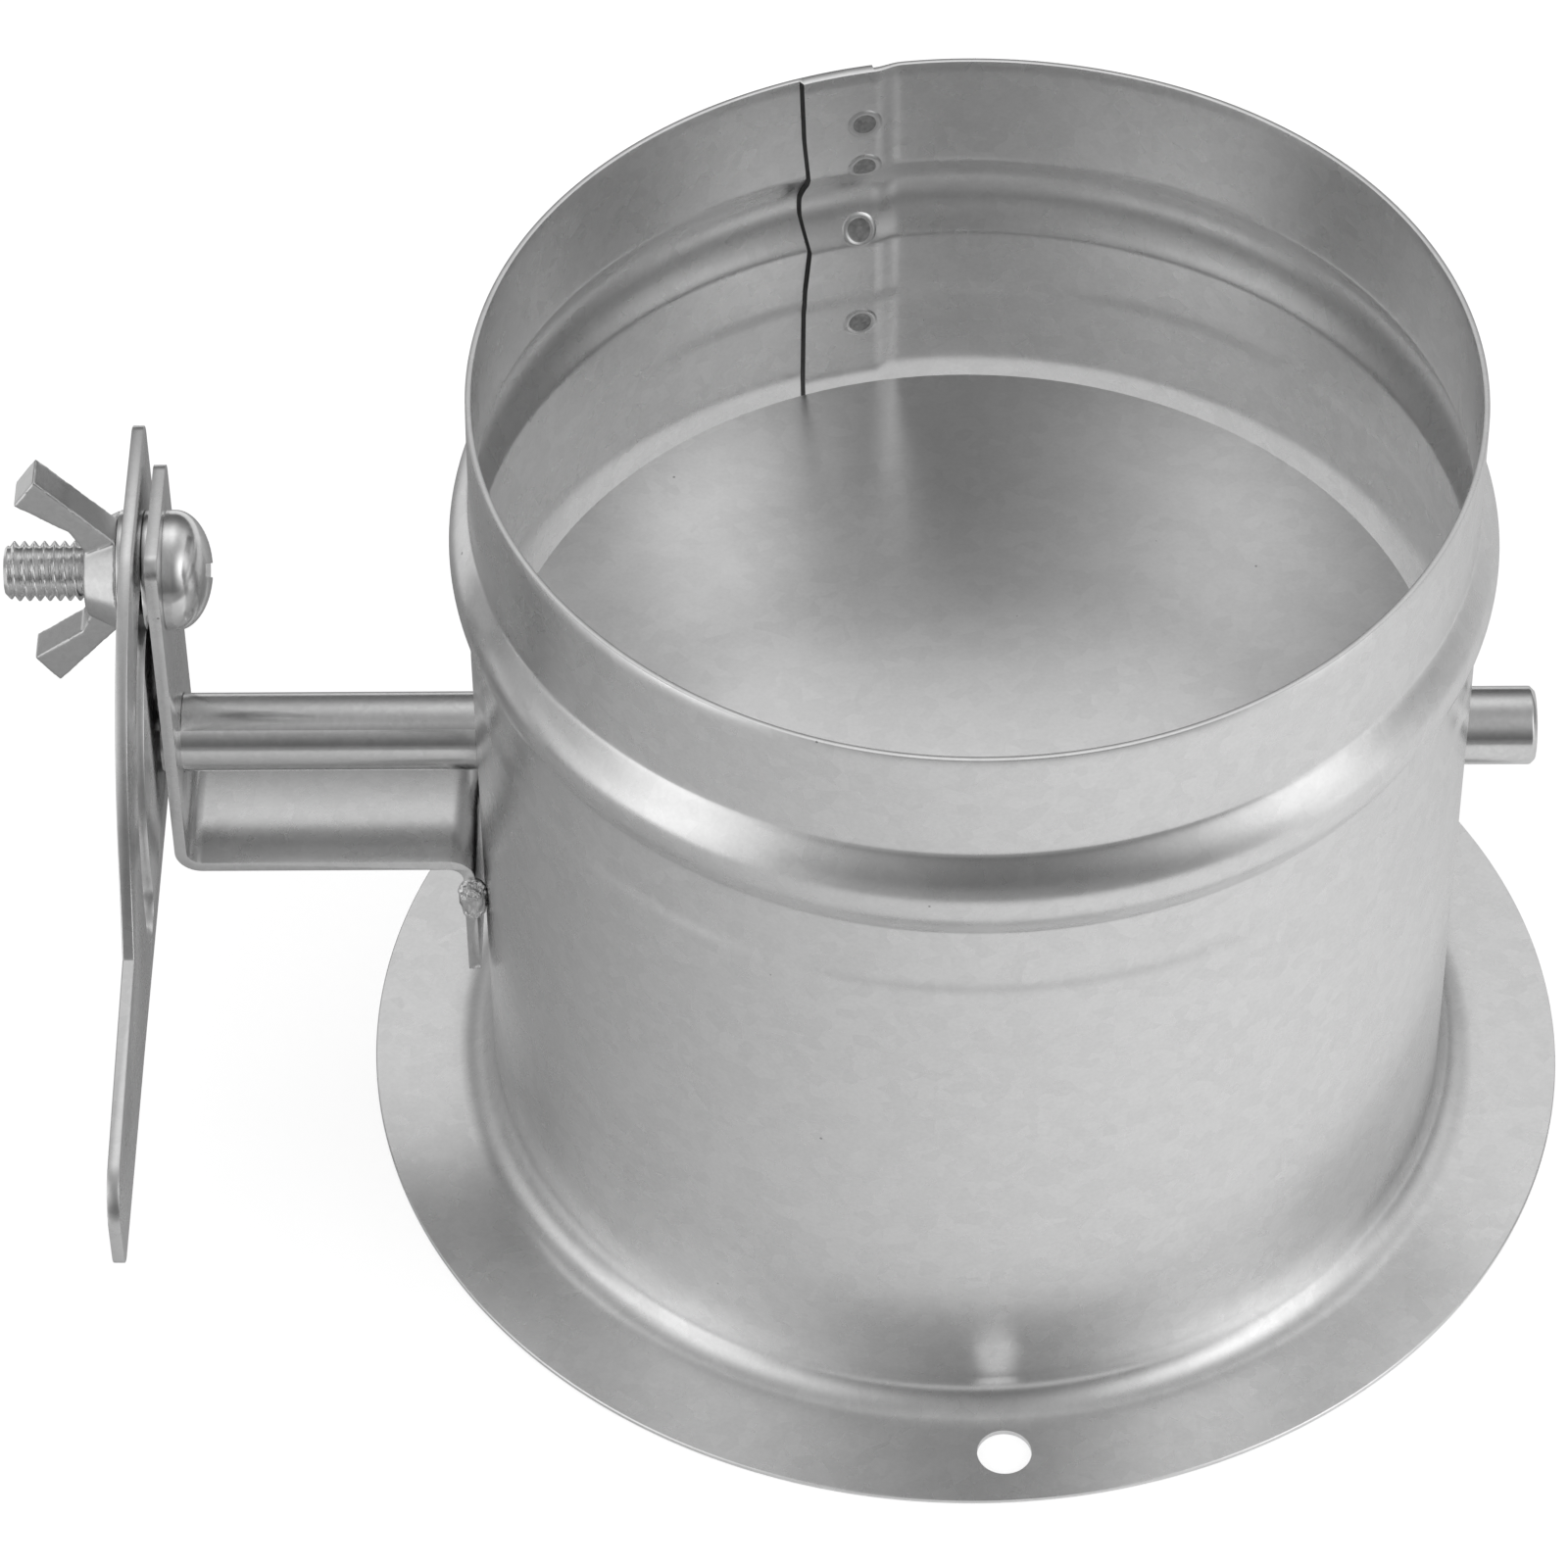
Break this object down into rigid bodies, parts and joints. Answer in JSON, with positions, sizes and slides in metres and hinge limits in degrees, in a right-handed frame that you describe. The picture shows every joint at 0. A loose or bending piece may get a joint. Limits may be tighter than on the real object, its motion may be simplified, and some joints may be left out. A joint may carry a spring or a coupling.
{
  "type": "butterfly duct damper",
  "caption": "Round flanged duct collar with a butterfly blade on a cross shaft, set by a slotted lever that a wing nut clamps to its bracket.",
  "frame": {"origin": "centre of the flange's screw circle, on the flange's lower face and the duct's axis", "axes": "+Z along the duct from the flange to the spigot, X along the blade's shaft with the lever on the -X side, handle towards -Y"},
  "size_m": [0.1587, 0.127, 0.094],
  "materials": {
    "galvanised_sheet": "galvanised, satin, fine spangle",
    "galvanised_strip": "galvanised, satin",
    "galvanised_blade": "galvanised, satin, fine spangle",
    "plated_bar": "zinc plated, semi-gloss",
    "plated_fastener": "zinc plated, bright",
    "plated_casting": "zinc plated, bright"
  },
  "bodies": {
    "collar_body": {"collar": "galvanised_sheet", "bracket": "galvanised_strip", "clamp_screw": "plated_fastener", "spacer_washer": "plated_fastener"},
    "blade_body": {"shaft": "plated_bar", "blade": "galvanised_blade", "lever": "galvanised_strip"},
    "washer_body": {"flat_washer": "plated_fastener"},
    "wing_nut_body": {"wing_nut": "plated_casting"}
  },
  "joints": [
    {"name": "blade_turn", "type": "hinge", "parent": "collar_body", "child": "blade_body", "pos_m": [0, 0, 0.047], "axis": [-1, 0, 0], "range_deg": [-3, 93]},
    {"name": "clamp_travel", "type": "slide", "parent": "collar_body", "child": "washer_body", "axis": [-1, 0, 0], "range_m": [0, 0.003]},
    {"name": "wing_nut_turn", "type": "hinge", "parent": "washer_body", "child": "wing_nut_body", "pos_m": [-0.08445, 0, 0.07], "axis": [-1, 0, 0], "range_deg": [0, 1081]}
  ],
  "couplings": [
    {"joint": "wing_nut_turn", "follows": "clamp_travel", "rad_per_m": 6283.2}
  ]
}
